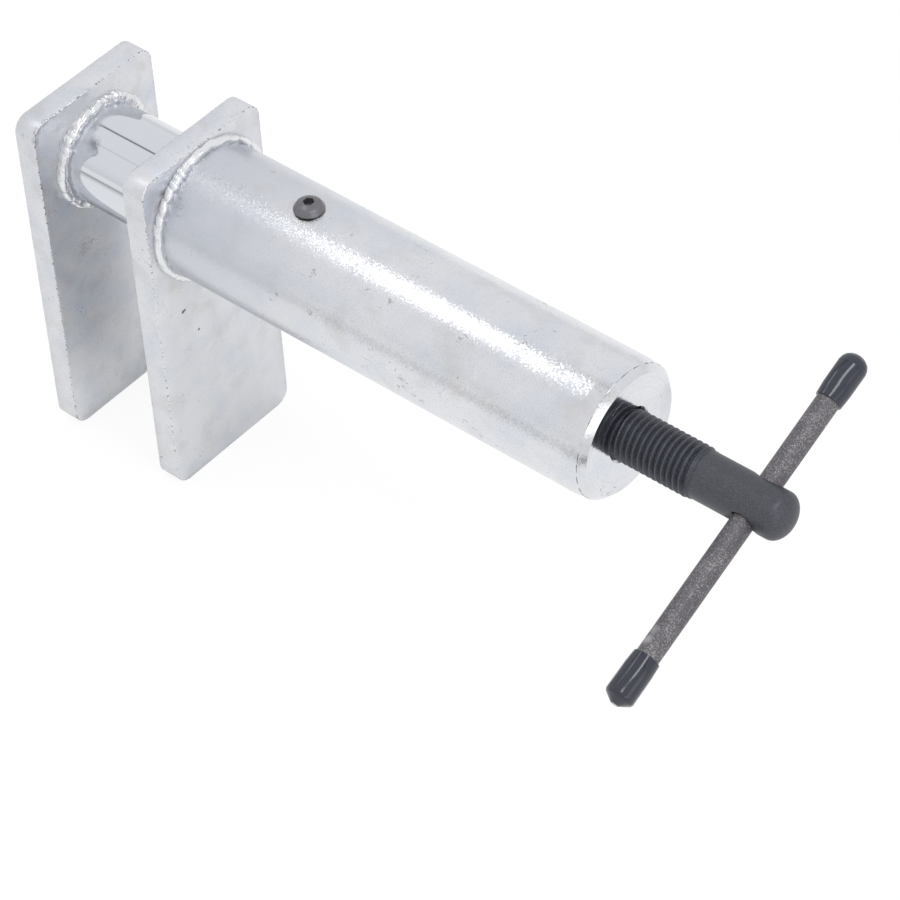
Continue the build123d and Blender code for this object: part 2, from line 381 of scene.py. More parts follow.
def plating(node, where, colours, cloud):
    """Zinc's colour: bluish and dull clouds about this wide, fine specks, and brown scratches."""
    noise = node("TexNoise", {"Vector": where, "Scale": 1 / cloud, "Detail": 5.0, "Roughness": 0.6})
    base = tinted(node, rgba(colours.zinc), colours.zinc_blue, noise, 0.42, 0.66, 0.6)
    drift = node("VectorMath", {"Vector": where, "Vector_001": (0.31, 0.17, 0.05)})
    noise = node("TexNoise", {"Vector": drift, "Scale": 1.2 / cloud, "Detail": 4.0, "Roughness": 0.5})
    base = tinted(node, base, colours.zinc_dull, noise, 0.53, 0.73, 0.5)
    specks = node("TexNoise", {"Vector": where, "Scale": 1 / (0.3 * MM), "Detail": 1.0})
    base = tinted(node, base, colours.pit_and_painted_shade, specks, 0.56, 0.78, 0.28)
    # Scratches run one way, bent a little, and come in patches
    bend = node("TexNoise", {"Vector": where, "Scale": 1 / (4 * MM), "Detail": 1.0})
    bend = node("VectorMath", {"Vector": bend.outputs["Color"], "Scale": 4 * MM}, operation="SCALE")
    bent = node("VectorMath", {"Vector": where, "Vector_001": bend})
    drawn = node("Mapping", {"Vector": bent, "Scale": (0.25, 1, 0.6), "Rotation": (0.4, 0.3, 0.8)})
    fine = node("TexNoise", {"Vector": drawn, "Scale": 1 / (0.55 * MM), "Detail": 2.0})
    patch = node("TexNoise", {"Vector": drift, "Scale": 1 / (8 * MM), "Detail": 2.0})
    both = node("Math", {"Value": fine, "Value_001": patch})
    return tinted(node, base, colours.stain, both, 1.27, 1.37, 0.6)


def tube_zinc(node, where, colours):
    """Drawn steel tube, blasted and zinc plated: satin, and it sparkles where it mirrors a lamp."""
    base = plating(node, where, colours, 15 * MM)
    # Brown stains and scuffs where the photographed tool has them, as (mm along X, degrees, radius in mm)
    stains = []
    for far, angle, radius in ((59, 93, 1.6), (22, 72, 3.5), (50, 122, 0.9), (93, 180, 4.5), (107, 174, 3)):
        turn = radians(angle)
        stains.append((Vector((far * MM, tube_r * cos(turn), tube_r * sin(turn))), radius * MM))
    near = near_places(node, where, stains)
    streaks = node("Mapping", {"Vector": where, "Scale": (0.5, 1.0, 1.8), "Rotation": (0, 0.5, 0.3)})
    noise = node("TexNoise", {"Vector": streaks, "Scale": 1 / (0.9 * MM), "Detail": 3.0})
    base = marked(node, base, colours.stain, noise, near, 0.34, 0.55, 0.55)
    # The plating turned a little straw coloured round the guide screw
    seat = Vector(((guide_low.x + guide_high.x) / 2, 0, tube_r))
    near = near_places(node, where, [(seat, 8 * MM)])
    noise = node("TexNoise", {"Vector": where, "Scale": 1 / (2.5 * MM), "Detail": 2.0})
    base = marked(node, base, colours.zinc_straw, noise, near, 0.1, 0.3, 0.5)
    # A thin, broken dark line runs round the turned corner
    along = node("SeparateXYZ", {"Vector": where})
    corner_x = tube_high.x - 2.0 * MM
    off = away_from(node, along, corner_x)
    fall = {"Value": off, "From Min": 0.08 * MM, "From Max": 0.3 * MM, "To Min": 1, "To Max": 0}
    corner = node("MapRange", fall)
    noise = node("TexNoise", {"Vector": where, "Scale": 1 / (2.2 * MM), "Detail": 4.0})
    base = marked(node, base, colours.pit_and_painted_shade, noise, corner, 0.42, 0.6, 0.9)
    # Duller beside the weld, and almost a mirror on the turned end face
    # Painted shade: beside the weld the colour goes darker and bluer for the plate's shadow, fading out by
    # 75 mm
    reach = {"Value": along, "From Min": 8 * MM, "From Max": 75 * MM, "To Min": 0.55, "To Max": 0.0}
    share = node("MapRange", reach, interpolation_type="SMOOTHSTEP")
    mix = {"Factor_Float": share, "A_Color": base, "B_Color": rgba(colours.plate_shade_zinc)}
    base = node("Mix", mix, data_type="RGBA")
    reach = {"Value": along, "From Min": 0, "From Max": 120 * MM, "To Min": 0.32, "To Max": 0.22}
    rough = node("MapRange", reach, interpolation_type="SMOOTHSTEP")
    face = {"Value": along, "From Min": tube_high.x - 0.1 * MM, "From Max": tube_high.x}
    turned_face = node("MapRange", {**face, "To Min": 1.0, "To Max": 0.6})
    rough = node("Math", {"Value": rough, "Value_001": turned_face}, operation="MULTIPLY")
    # Blasting leaves fine craters, and each faces its own way. They are drawn 0.36 mm wide,
    # coarser than real, so that they sparkle
    craters = node("TexVoronoi", {"Vector": where, "Scale": 1 / (0.36 * MM)}).outputs["Color"]
    middle = {"Vector": craters, "Vector_001": (0.5, 0.5, 0.5)}
    tilt = node("VectorMath", middle, operation="SUBTRACT")
    end = {"Value": along, "From Min": tube_high.x - 2.5 * MM, "From Max": tube_high.x}
    strength = node("MapRange", {**end, "To Min": 0.12, "To Max": 0.02})
    tilt = node("VectorMath", {"Vector": tilt, "Scale": strength}, operation="SCALE")
    straight = node("NewGeometry").outputs["Normal"]
    facing = node("VectorMath", {"Vector": straight, "Vector_001": tilt})
    facing = node("VectorMath", {"Vector": facing}, operation="NORMALIZE")
    return {"Base Color": base, "Metallic": 1.0, "Roughness": rough, "Normal": facing}


def plate_zinc(node, where, colours):
    """Rolled flat bar, zinc plated: dull satin, mottled, with fine rolling grain and scuffs."""
    base = plating(node, where, colours, 11 * MM)
    # Marks where the photographed tool has them, as (x, then y, z and radius in mm):
    # scuffs, nicks, and knocks along the moving plate's corner above its bead
    inner, outer, corner = moving_high.x, fixed_high.x, moving_high.x + 1.2 * MM
    scuffs = ((inner, -12, -31, 11), (inner, -15, 18, 8), (inner, -3, 24, 7), (outer, -17, 17, 5))
    nicks = ((outer, -14.7, -31.2, 1.1), (outer, -14.0, -31.0, 0.9), (outer, -9.2, -42.2, 0.8))
    knocks = ((corner, -25, 19, 3.5), (corner, -23.5, 22.5, 4), (corner, -20, 24, 4), (corner, -16, 24, 3.5))
    by_scuffs, by_nicks, by_knocks = (
        near_places(node, where, [(Vector((x, y * MM, z * MM)), radius * MM) for x, y, z, radius in marks])
        for marks in (scuffs, nicks, knocks)
    )
    slanted = node("Mapping", {"Vector": where, "Scale": (1.0, 0.55, 1.3), "Rotation": (0.6, 0, 0)})
    streaks = {"Vector": slanted, "Scale": 1 / (1.2 * MM), "Detail": 6.0, "Roughness": 0.7}
    base = marked(node, base, colours.stain, node("TexNoise", streaks), by_scuffs, 0.32, 0.6, 0.45)
    base = tinted(node, base, colours.pit_and_painted_shade, by_nicks, 0.35, 0.6, 0.95)
    noise = node("TexNoise", {"Vector": where, "Scale": 1 / (0.5 * MM), "Detail": 2.0})
    base = marked(node, base, colours.pit_and_painted_shade, noise, by_knocks, 0.15, 0.45, 0.7)
    rough = uneven(node, where, 6 * MM, 5.0, 0.3, 0.7, 0.38, 0.5)
    # Rolling leaves a fine grain along the bar, drawn 0.35 mm across, coarser than real, so that it shows
    drawn = node("Mapping", {"Vector": where, "Scale": (1, 1, 0.6)})
    grain = node("TexNoise", {"Vector": drawn, "Scale": 1 / (0.35 * MM), "Detail": 1.0})
    bump = node("Bump", {"Height": grain, "Distance": 0.05 * MM})
    return {"Base Color": base, "Metallic": 1.0, "Roughness": rough, "Normal": bump}


def edge_zinc(node, where, colours):
    """The flat bar's broken edges: knocked bright, with dark nicks one after another."""
    nicks = node("TexNoise", {"Vector": where, "Scale": 1 / (0.8 * MM), "Detail": 4.0, "Roughness": 0.7})
    base = tinted(node, rgba(colours.zinc), colours.pit_and_painted_shade, nicks, 0.52, 0.62, 0.9)
    bump = node("Bump", {"Height": nicks, "Distance": -0.15 * MM})
    return {"Base Color": base, "Metallic": 1.0, "Roughness": 0.3, "Normal": bump}


def weld_zinc(node, where, colours):
    """Weld metal laid by hand and zinc plated: glossy and almost white, with painted shade down in its
    creases.
    """
    painted_crease_shade = node("NewGeometry").outputs["Pointiness"]
    # Painted shade: the weld's creases, found by pointiness, are darkened
    base = tinted(node, rgba(colours.weld), colours.pit_and_painted_shade, painted_crease_shade, 0.49, 0.42, 0.85)
    rough = uneven(node, where, 3 * MM, 2.0, 0.35, 0.65, 0.16, 0.34)
    # The skin wrinkles as it sets, about 0.7 mm from wrinkle to wrinkle
    wrinkles = node("TexNoise", {"Vector": where, "Scale": 1 / (0.7 * MM), "Detail": 2.0})
    bump = node("Bump", {"Height": wrinkles, "Distance": 0.10 * MM})
    return {"Base Color": base, "Metallic": 1.0, "Roughness": rough, "Normal": bump}


def ground_bar(node, where, colours):
    """Ground bar, bright plated: nearly a mirror, with drawn lines along it and a dark cloudy patch beside
    the weld at one end.
    """
    sides = node("Mapping", {"Vector": where, "Scale": (0.015, 1, 1)})
    lines = node("TexNoise", {"Vector": sides, "Scale": 1 / (0.5 * MM), "Detail": 3.0})
    base = tinted(node, rgba(colours.ram), colours.zinc_dull, lines, 0.6, 0.75, 0.35)
    # A dark cloudy patch beside the weld
    dark_patch = Vector((moving_high.x + 8.5 * MM, -9.8 * MM, 12.7 * MM))
    dark_patch_edge = dark_patch + Vector((-3 * MM, 4 * MM, 2 * MM))
    near = near_places(node, where, [(dark_patch, 4.5 * MM), (dark_patch_edge, 3 * MM)])
    cloudy = {"Vector": where, "Scale": 1 / (2.2 * MM), "Detail": 5.0, "Roughness": 0.65}
    base = marked(node, base, colours.pit_and_painted_shade, node("TexNoise", cloudy), near, 0.18, 0.5, 0.55)
    # The weld's heat dulled the first few millimetres
    along = node("SeparateXYZ", {"Vector": where})
    heat = {"Value": along, "From Min": moving_high.x + 2 * MM, "From Max": moving_high.x + 9 * MM}
    heat = {**heat, "To Min": 0.34, "To Max": 0.06}
    rough = node("MapRange", heat, interpolation_type="SMOOTHSTEP")
    bump = node("Bump", {"Height": lines, "Distance": 0.002 * MM})
    return {"Base Color": base, "Metallic": 1.0, "Roughness": rough, "Normal": bump}


def black_oxide(node, where, colours):
    """Steel screw with black oxide under oil: blue-black thread rubbed grey on its crests, greyer shank."""
    across = node("Mapping", {"Vector": where, "Scale": (0, 1, 1)})
    out = node("VectorMath", {"Vector": across}, operation="LENGTH").outputs["Value"]
    crest = node("MapRange", {"Value": out, "From Min": thread_r - 0.15 * MM, "From Max": thread_r})
    noise = node("TexNoise", {"Vector": where, "Scale": 1 / (1.5 * MM), "Detail": 4.0})
    base = marked(node, rgba(colours.oxide), colours.oxide_crest, noise, crest, 0, 1, 1)
    along = node("SeparateXYZ", {"Vector": where})
    run_out, fade = 182.5 * MM, 1.5 * MM
    base = tinted(node, base, colours.oxide_shank, along, run_out - fade, run_out + fade)
    # Crystals of the oxide, and a few bright scratches
    flecks = node("TexNoise", {"Vector": where, "Scale": 1 / (0.45 * MM), "Detail": 3.0, "Roughness": 0.7})
    base = tinted(node, base, colours.phosphate_fleck, flecks, 0.45, 0.75, 0.2)
    bump = node("Bump", {"Height": flecks, "Distance": 0.02 * MM})
    return {"Base Color": base, "Metallic": 0.55, "Roughness": 0.44, "Normal": bump}


def phosphate(node, where, colours):
    """Bar with dark phosphate: matt, finely speckled with pale crystals, worn bright in one place."""
    # Crystals and pits are drawn 0.45 mm wide, coarser than real, so that they show
    fine = node("TexNoise", {"Vector": where, "Scale": 1 / (0.45 * MM), "Detail": 1.0})
    broad = node("TexNoise", {"Vector": where, "Scale": 1 / (5 * MM), "Detail": 3.0})
    sum_of_both = {"Value": broad, "Value_001": 0.4, "Value_002": fine}
    both = node("Math", sum_of_both, operation="MULTIPLY_ADD")
    base = tinted(node, rgba(colours.phosphate), colours.phosphate_fleck, both, 0.67, 0.95, 0.85)
    worn = cross_hole - bar_axis * 45 * MM + Vector((-1.5 * MM, -1.0 * MM, 3 * MM))
    near = near_places(node, where, [(worn, 3.5 * MM), (worn - bar_axis * 3 * MM, 3 * MM)])
    base = marked(node, base, colours.bare_steel, broad, near, 0.2, 0.45, 0.6)
    bump = node("Bump", {"Height": fine, "Distance": 0.16 * MM})
    return {"Base Color": base, "Metallic": 0.6, "Roughness": 0.46, "Normal": bump}


def dipped_vinyl(node, where, colours):
    """Soft vinyl, dipped and cured: glossy blue-black, and its skin runs in slow waves."""
    # The waves run along the bar
    lean = bar_axis.yz.angle_signed(Vector((1, 0)))
    turned_in = node("Mapping", {"Vector": where, "Rotation": (lean, 0, 0)})
    drawn = node("Mapping", {"Vector": turned_in, "Scale": (1, 0.6, 1)})
    wave = node("TexNoise", {"Vector": drawn, "Scale": 1 / (8 * MM), "Detail": 0.0})
    bump = node("Bump", {"Height": wave, "Distance": 1.3 * MM})
    rough = uneven(node, where, 4 * MM, 2.0, 0.4, 0.6, 0.06, 0.12)
    return {"Base Color": rgba(colours.vinyl), "Roughness": rough, "IOR": 1.53, "Normal": bump}


def blackened_screw(node, where, colours):
    """Alloy steel socket screw, heat blackened and handled: grey satin, with a painted shadow round the foot
    of its head.
    """
    height = node("SeparateXYZ", {"Vector": where}).outputs["Z"]
    noise = node("TexNoise", {"Vector": where, "Scale": 1 / (0.8 * MM), "Detail": 4.0})
    base = tinted(node, rgba(colours.screw), colours.phosphate_fleck, noise, 0.5, 0.8, 0.2)
    # Painted shadow: the head goes dark in its lowest half millimetre, where it sits on the tube
    base = tinted(node, base, colours.oxide, height, tube_r + 0.5 * MM, tube_r, 0.85)
    bump = node("Bump", {"Height": noise, "Distance": 0.02 * MM})
    return {"Base Color": base, "Metallic": 0.8, "Roughness": 0.36, "Normal": bump}


def hardened_steel(node, where, colours):
    """Ground and hardened steel: clean and bright."""
    rough = uneven(node, where, 1.5 * MM, 3.0, 0.3, 0.7, 0.14, 0.24)
    return {"Base Color": rgba(colours.hardened), "Metallic": 1.0, "Roughness": rough}


class PISTONTOOL_OT_body_tube(bpy.types.Operator):
    """Model the thick tube and the threaded plug in its rear end"""

    bl_idname = "piston_tool.body_tube"
    bl_label = "Body tube"

    def execute(self, context):
        finish = new_finish("zinc plated drawn tube", tube_zinc, context.scene.tool_colours)
        end = tube_high.x
        # The plug's weld fills a groove this deep
        groove = 3.0 * MM
        outline = (
            (0, bore_r, 0),
            (0, tube_r, 0),
            (end - 6.3 * MM, tube_r, 8 * MM),
            (end - 2.0 * MM, tube_r - 0.4 * MM, 0.4 * MM),
            (end, tube_r - 2.4 * MM, 0.25 * MM),
            (end, bore_r + groove / 2, 0),
            (end - groove, bore_r, 0),
        )
        dress(turned("tube", outline, ring=True), "body", "zinc_plate", finish, "body_tube")
        clear_r = thread_r + 0.1 * MM
        outline = (
            (plug_low.x, clear_r, 0),
            (plug_low.x, bore_r - 1 * MM, 0),
            (plug_low.x + 1 * MM, bore_r, 0),
            (end - groove, bore_r, 0),
            (end, bore_r - groove / 2, 0),
            (end, thread_r + 0.9 * MM, 0.2 * MM),
            (end - 0.8 * MM, clear_r, 0),
        )
        dress(turned("plug", outline, ring=True), "body", "zinc_plate", finish, "end_plug")
        return {"FINISHED"}


class PISTONTOOL_OT_jaw_plates(bpy.types.Operator):
    """Model the two jaw plates: flat bar with rounded corners, one of them bored"""

    bl_idname = "piston_tool.jaw_plates"
    bl_label = "Jaw plates"

    def execute(self, context):
        sizes = context.scene.tool_sizes
        colours = context.scene.tool_colours
        finish = new_finish("zinc plated rolled flat bar", plate_zinc, colours)
        edges = new_finish("knocked zinc plated edge", edge_zinc, colours)
        for name, node, body, low, high in (
            ("fixed_jaw", "fixed_plate", "body", fixed_low, fixed_high),
            ("moving_jaw", "moving_plate", "ram", moving_low, moving_high),
        ):
            plate = block(name, low, high, sizes.plate_corner, upright=0)
            if node == "fixed_plate":
                reach = 2 * (high.x - low.x)
                side = sizes.plate_bore
                drill = ((-reach, 0, 0), (-reach, side, 0), (reach, side, 0), (reach, 0, 0))
                cut(plate, turned("bore", drill))
            plate.data.materials.append(finish)
            plate.data.materials.append(edges)
            modify(
                plate,
                "BEVEL",
                width=sizes.plate_edge,
                segments=3,
                limit_method="ANGLE",
                angle_limit=radians(50),
                harden_normals=True,
                material=1,
            )
            dress(plate, body, "zinc_plate", finish, node)
        return {"FINISHED"}


def weld_bead(name, face, radius, foot, toe, runs, chance, voxel):
    """A hand-laid bead in the corner of a plate's face and a round.

    Each run is laid between two angles as lumps of one length and spacing, which lean over
    like fallen coins. They melt into one skin, with a crease from lump to lump.
    """
    core = (
        (face - 0.3 * MM, radius - 0.3 * MM, 0),
        (face - 0.3 * MM, radius + foot * 0.8, 0),
        (face + 0.1 * MM, radius + foot * 0.8, 0),
        (face + toe * 0.50, radius + foot * 0.50, 0.8 * MM),
        (face + toe * 0.85, radius, 0),
        (face + toe * 0.80, radius - 0.3 * MM, 0),
    )
    bead = turned(name, core, ring=True)
    model = added(bpy.ops.mesh.primitive_uv_sphere_add, segments=32, ring_count=24, radius=1)
    lumps = []
    for start, end, spacing, length, swell, lean in runs:
        angle = radians(start)
        while angle < radians(end):
            only(model)
            bpy.ops.object.duplicate()
            lump = bpy.context.object
            wide = swell * chance.uniform(0.92, 1.12) * MM
            stretch = Matrix.Diagonal((wide, length * chance.uniform(0.85, 1.2) * MM, wide, 1))
            lean_over = Matrix.Rotation(lean * chance.uniform(0.6, 1.3), 4, "Z")
            seat_x = face + toe * chance.uniform(0.34, 0.48)
            seat = Matrix.Translation((seat_x, 0, radius + foot * chance.uniform(0.34, 0.46)))
            lump.matrix_world = Matrix.Rotation(angle - pi / 2, 4, "X") @ seat @ lean_over @ stretch
            lumps.append(lump)
            angle += spacing * chance.uniform(0.8, 1.25) * MM / (radius + foot / 2)
    bpy.data.objects.remove(model)
    join(bead, lumps)
    bpy.ops.object.transform_apply(location=True, rotation=True, scale=True)
    modify(bead, "REMESH", mode="VOXEL", voxel_size=voxel)
    flakes = bpy.data.textures.new("flakes of the setting skin", "VORONOI")
    flakes.noise_scale = 4.5 * MM
    flakes.weight_1, flakes.weight_2 = -1, 1
    modify(bead, "DISPLACE", texture=flakes, strength=0.5 * MM, mid_level=0.3)
    modify(bead, "SMOOTH", factor=0.5, iterations=2)
    bpy.ops.object.mode_set(mode="EDIT")
    bpy.ops.mesh.select_all(action="SELECT")
    at_face = {"plane_co": (face, 0, 0), "plane_no": (1, 0, 0), "threshold": TOUCH}
    bpy.ops.mesh.bisect(**at_face, clear_inner=True, use_fill=True)
    close_up()
    return bead


class PISTONTOOL_OT_weld_beads(bpy.types.Operator):
    """Model the two fillet welds: the moving plate's in short runs, the fixed plate's in long ones"""

    bl_idname = "piston_tool.weld_beads"
    bl_label = "Weld beads"

    def execute(self, context):
        sizes = context.scene.tool_sizes
        finish = new_finish("zinc plated weld metal", weld_zinc, context.scene.tool_colours)
        chance = random.Random(11)
        # From and to in degrees, then spacing, half length and swell in mm, and the lean
        moving_runs = (
            (20, 90, 1.6, 1.0, 1.9, 0.9),
            (92, 124, 3.6, 3.8, 1.75, 0.3),
            (129, 150, 2.4, 2.2, 1.8, 0.7),
            (152, 188, 4.2, 4.2, 1.75, 0.12),
            (190, 238, 3.4, 3.8, 1.65, 0.15),
            (241, 376, 1.9, 1.9, 1.7, 0.4),
        )
        fixed_runs = (
            (15, 112, 4.6, 4.6, 1.45, 0.12),
            (115, 132, 2.4, 2.0, 1.5, 0.7),
            (134, 168, 3.6, 3.2, 1.45, 0.3),
            (170, 212, 4.3, 4.4, 1.4, 0.1),
            (214, 372, 2.6, 2.6, 1.4, 0.3),
        )
        toe = 2.75 * MM
        for name, node, body, face, radius, foot, runs in (
            ("moving_bead", "moving_plate_weld", "ram", moving_high.x, ram_r, 3.0 * MM, moving_runs),
            ("fixed_bead", "fixed_plate_weld", "body", fixed_high.x, tube_r, 2.1 * MM, fixed_runs),
        ):
            bead = weld_bead(name, face, radius, foot, toe, runs, chance, sizes.weld_voxel)
            dress(bead, body, "weld_metal", finish, node, angle=180)
        return {"FINISHED"}


class PISTONTOOL_OT_ram(bpy.types.Operator):
    """Model the sliding ram with its keyway and the socket for the drive screw"""

    bl_idname = "piston_tool.ram"
    bl_label = "Ram"

    def execute(self, context):
        sizes = context.scene.tool_sizes
        socket_r = sizes.nose + 0.1 * MM
        outline = (
            (ram_low.x, 0, 0),
            (ram_low.x, ram_r, 0),
            (ram_high.x - 1 * MM, ram_r, 0),
            (ram_high.x, ram_r - 1 * MM, 0),
            (ram_high.x, socket_r, 0),
            (ball_high.x, socket_r, 0),
            (ball_low.x, 0, 0),
        )
        ram = turned("ram_bar", outline, around=256)
        slot = block(
            "slot",
            Vector((sizes.keyway_start, -sizes.keyway / 2, ram_r - sizes.keyway_depth)),
            Vector((sizes.keyway_end, sizes.keyway / 2, ram_r + sizes.keyway_depth)),
            sizes.keyway / 2 - 0.01 * MM,
            upright=2,
        )
        cut(ram, slot)
        finish = new_finish("ground and bright plated bar", ground_bar, context.scene.tool_colours)
        dress(ram, "ram", "ram_steel", finish, "ram")
        return {"FINISHED"}


class PISTONTOOL_OT_guide_screw(bpy.types.Operator):
    """Model the small socket screw that runs in the ram's keyway"""

    bl_idname = "piston_tool.guide_screw"
    bl_label = "Guide screw"

    def execute(self, context):
        head_r = (guide_high.x - guide_low.x) / 2
        height = guide_high.z - tube_r
        length = tube_r - guide_low.z
        shank, point, thread_end = 2.5 * MM, 1.9 * MM, 4.4 * MM
        outline = (
            (height, 0, 0),
            (height, 2.3 * MM, 0.4 * MM),
            (height * 0.74, head_r * 0.80, 1.5 * MM),
            (0.45 * MM, head_r, 0.15 * MM),
            (0, head_r, 0.1 * MM),
            (0, shank, 0),
            (-thread_end, shank, 0),
            (-thread_end, point, 0),
            (-length, point, 0),
            (-length, 0, 0),
        )
        screw = turned("socket_screw", outline, around=96)
        # The socket takes a 3 mm key
        corner_r = 1.5 * MM / cos(pi / 6)
        seat = {"location": (height, 0, 0), "rotation": (0, pi / 2, 0)}
        prism = bpy.ops.mesh.primitive_cylinder_add
        hexagon = added(prism, vertices=6, radius=corner_r, depth=3.4 * MM, **seat)
        bpy.ops.object.transform_apply(location=True, rotation=True, scale=True)
        cut(screw, hexagon)
        guide_x = (guide_low.x + guide_high.x) / 2
        place(screw, Matrix.Translation((guide_x, 0, tube_r)) @ Matrix.Rotation(-pi / 2, 4, "Y"))
        finish = new_finish("blackened alloy steel", blackened_screw, context.scene.tool_colours)
        dress(screw, "body", "screw_steel", finish, "guide_screw")
        return {"FINISHED"}


class PISTONTOOL_OT_drive_screw(bpy.types.Operator):
    """Model the drive screw: its rolled thread, plain shank, cross hole and domed end"""

    bl_idname = "piston_tool.drive_screw"
    bl_label = "Drive screw"

    def execute(self, context):
        sizes = context.scene.tool_sizes
        pitch = sizes.thread_pitch
        root_r = thread_r - sizes.thread_depth
        crest, root = pitch * 0.16, pitch * 0.10
        start = sizes.thread_start - pitch
        run = sizes.shank_start + 0.5 * MM - start
        turn = (
            (start, root_r, 0),
            (start + root, root_r, 0.12 * MM),
            (start + pitch / 2 - crest / 2, thread_r, 0.1 * MM),
            (start + pitch / 2 + crest / 2, thread_r, 0.1 * MM),
            (start + pitch - root, root_r, 0.12 * MM),
            (start + pitch, root_r, 0),
        )
        thread = line_up("drive_thread", rounded(turn, steps=2))
        bpy.ops.object.mode_set(mode="OBJECT")
        helix = {"axis": "X", "angle": tau, "screw_offset": pitch, "iterations": ceil(run / pitch)}
        modify(thread, "SCREW", **helix, steps=96, render_steps=96)
        bpy.ops.object.mode_set(mode="EDIT")
        bpy.ops.mesh.select_all(action="SELECT")
        bpy.ops.mesh.remove_doubles(threshold=TOUCH)
        for face, side in ((sizes.thread_start, "clear_inner"), (sizes.shank_start, "clear_outer")):
            bpy.ops.mesh.select_all(action="SELECT")
            bpy.ops.mesh.bisect(plane_co=(face, 0, 0), plane_no=(1, 0, 0), threshold=TOUCH, **{side: True})
        bpy.ops.object.mode_set(mode="OBJECT")

        low, high, side = sizes.shank_start - 6 * MM, screw_high.x + 6 * MM, sizes.shank
        shank = turned("shank", ((low, 0, 0), (low, side, 0), (high, side, 0), (high, 0, 0)))
        fade = thread.vertex_groups.new(name="run-out")
        fade_start, fade_length = sizes.shank_start - 3.0 * MM, 2.6 * MM
        for vertex in thread.data.vertices:
            reach = (vertex.co.x - fade_start) / fade_length
            if reach > 0:
                fade.add([vertex.index], min(reach, 1.0), "REPLACE")
        onto = {"target": shank, "wrap_method": "NEAREST_SURFACEPOINT"}
        modify(thread, "SHRINKWRAP", vertex_group=fade.name, **onto)
        bpy.data.objects.remove(shank)

        dome_start = screw_high.x - sizes.tip_height
        tail = [(sizes.shank_start, 1.0), (dome_start, 1.0)]
        # The last ring is all but a point, and melts into one
        rings, nearly = 16, 0.999
        for ring in range(1, rings + 1):
            slope = ring / rings * pi / 2
            tail.append((dome_start + nearly * sizes.tip_height * sin(slope), max(cos(slope), 1 - nearly)))
        only(thread)
        pick(thread, lambda spot: spot.x > sizes.shank_start - 0.001 * MM)
        for (here, from_scale), (there, to_scale) in zip(tail, tail[1:]):
            bpy.ops.mesh.extrude_edges_move(TRANSFORM_OT_translate={"value": (there - here, 0, 0)})
            shrink = to_scale / from_scale
            bpy.ops.transform.resize(value=(1, shrink, shrink), center_override=(there, 0, 0))
        bpy.ops.mesh.merge(type="CENTER")
        pick(thread, lambda spot: spot.x < sizes.thread_start + 0.001 * MM)
        bpy.ops.mesh.edge_face_add()
        close_up()

        # The groove in the nose holds the two cross pins
        groove_from, groove_to = ram_high.x - 10.1 * MM, ram_high.x - 5.9 * MM
        nose_to = sizes.thread_start + 0.01 * MM
        outline = (
            (screw_low.x, 0, 0),
            (screw_low.x, sizes.nose, 0.8 * MM),
            (groove_from, sizes.nose, 0),
            (groove_from, sizes.nose - 2 * MM, 0),
            (groove_to, sizes.nose - 2 * MM, 0),
            (groove_to, sizes.nose, 0),
            (nose_to, sizes.nose, 0),
            (nose_to, 0, 0),
        )
        nose = turned("nose", outline, around=96)
        sink_from = sizes.shank - (sizes.sink - sizes.cross_hole)
        past = 5 * MM
        outline = (
            (-sizes.shank - past, 0, 0),
            (-sizes.shank - past, sizes.sink + past, 0),
            (-sink_from, sizes.cross_hole, 0.3 * MM),
            (sink_from, sizes.cross_hole, 0.3 * MM),
            (sizes.shank + past, sizes.sink + past, 0),
            (sizes.shank + past, 0, 0),
        )
        hole = turned("cross_hole", outline, around=96)
        place(hole, along_bar())
        cut(thread, hole)
        join(thread, [nose])
        finish = new_finish("black oxide on rolled thread", black_oxide, context.scene.tool_colours)
        dress(thread, "spindle", "black_oxide", finish, "drive_screw", angle=40)
        return {"FINISHED"}


class PISTONTOOL_OT_t_bar(bpy.types.Operator):
    """Model the T-bar and its two dipped caps"""

    bl_idname = "piston_tool.t_bar"
    bl_label = "T-bar"

    def execute(self, context):
        colours = context.scene.tool_colours
        ends = [vertex.co.dot(bar_axis) for vertex in frame["nodes"]["tommy_bar"].data.vertices]
        bar_from, bar_to = min(ends), max(ends)
        bar_r = (bar_high.x - bar_low.x) / 2
        chamfer, skin, snug = 0.6 * MM, 1.2 * MM, 0.02 * MM
        outline = (
            (bar_from, 0, 0),
            (bar_from, bar_r - chamfer, 0),
            (bar_from + chamfer, bar_r, 0),
            (bar_to - chamfer, bar_r, 0),
            (bar_to, bar_r - chamfer, 0),
            (bar_to, 0, 0),
        )
        bar = turned("t_bar", outline, around=96)
        place(bar, along_bar())
        finish = new_finish("dark phosphate on drawn bar", phosphate, colours)
        dress(bar, "bar", "phosphate", finish, "tommy_bar")
        vinyl = new_finish("dipped soft vinyl", dipped_vinyl, colours)
        # The caps' noses, in mm from the tip back: (back, radius, rounding)
        round_nose = ((0, 0.8), (0.3, 1.8), (0.8, 2.75), (1.6, 3.6), (2.6, 4.1), (3.8, 4.35))
        round_nose = [(back, r, 0.15) for back, r in round_nose]
        cone_nose = ((0, 1.2, 0.4), (2.15, 4.4, 1.5))
        for name, node, end, turned_round, nose in (
            ("upper_cap", "upper_bar_cap", bar_to, False, round_nose),
            ("lower_cap", "lower_bar_cap", -bar_from, True, cone_nose),
        ):
            tip = end + skin
            mouth = tip - 15.4 * MM
            outline = (
                (tip, 0, 0),
                *((tip - back * MM, r * MM, radius * MM) for back, r, radius in nose),
                (mouth + 4.0 * MM, 4.3 * MM, 6 * MM),
                (mouth, 4.05 * MM, 0.25 * MM),
                (mouth, bar_r + snug, 0),
                (end - chamfer, bar_r + snug, 0),
                (end + snug, bar_r + snug - chamfer, 0),
                (end + snug, 0, 0),
            )
            cap = turned(name, outline, around=96)
            place(cap, along_bar(turned_round=turned_round))
            dress(cap, "bar", "vinyl", vinyl, node)
        return {"FINISHED"}


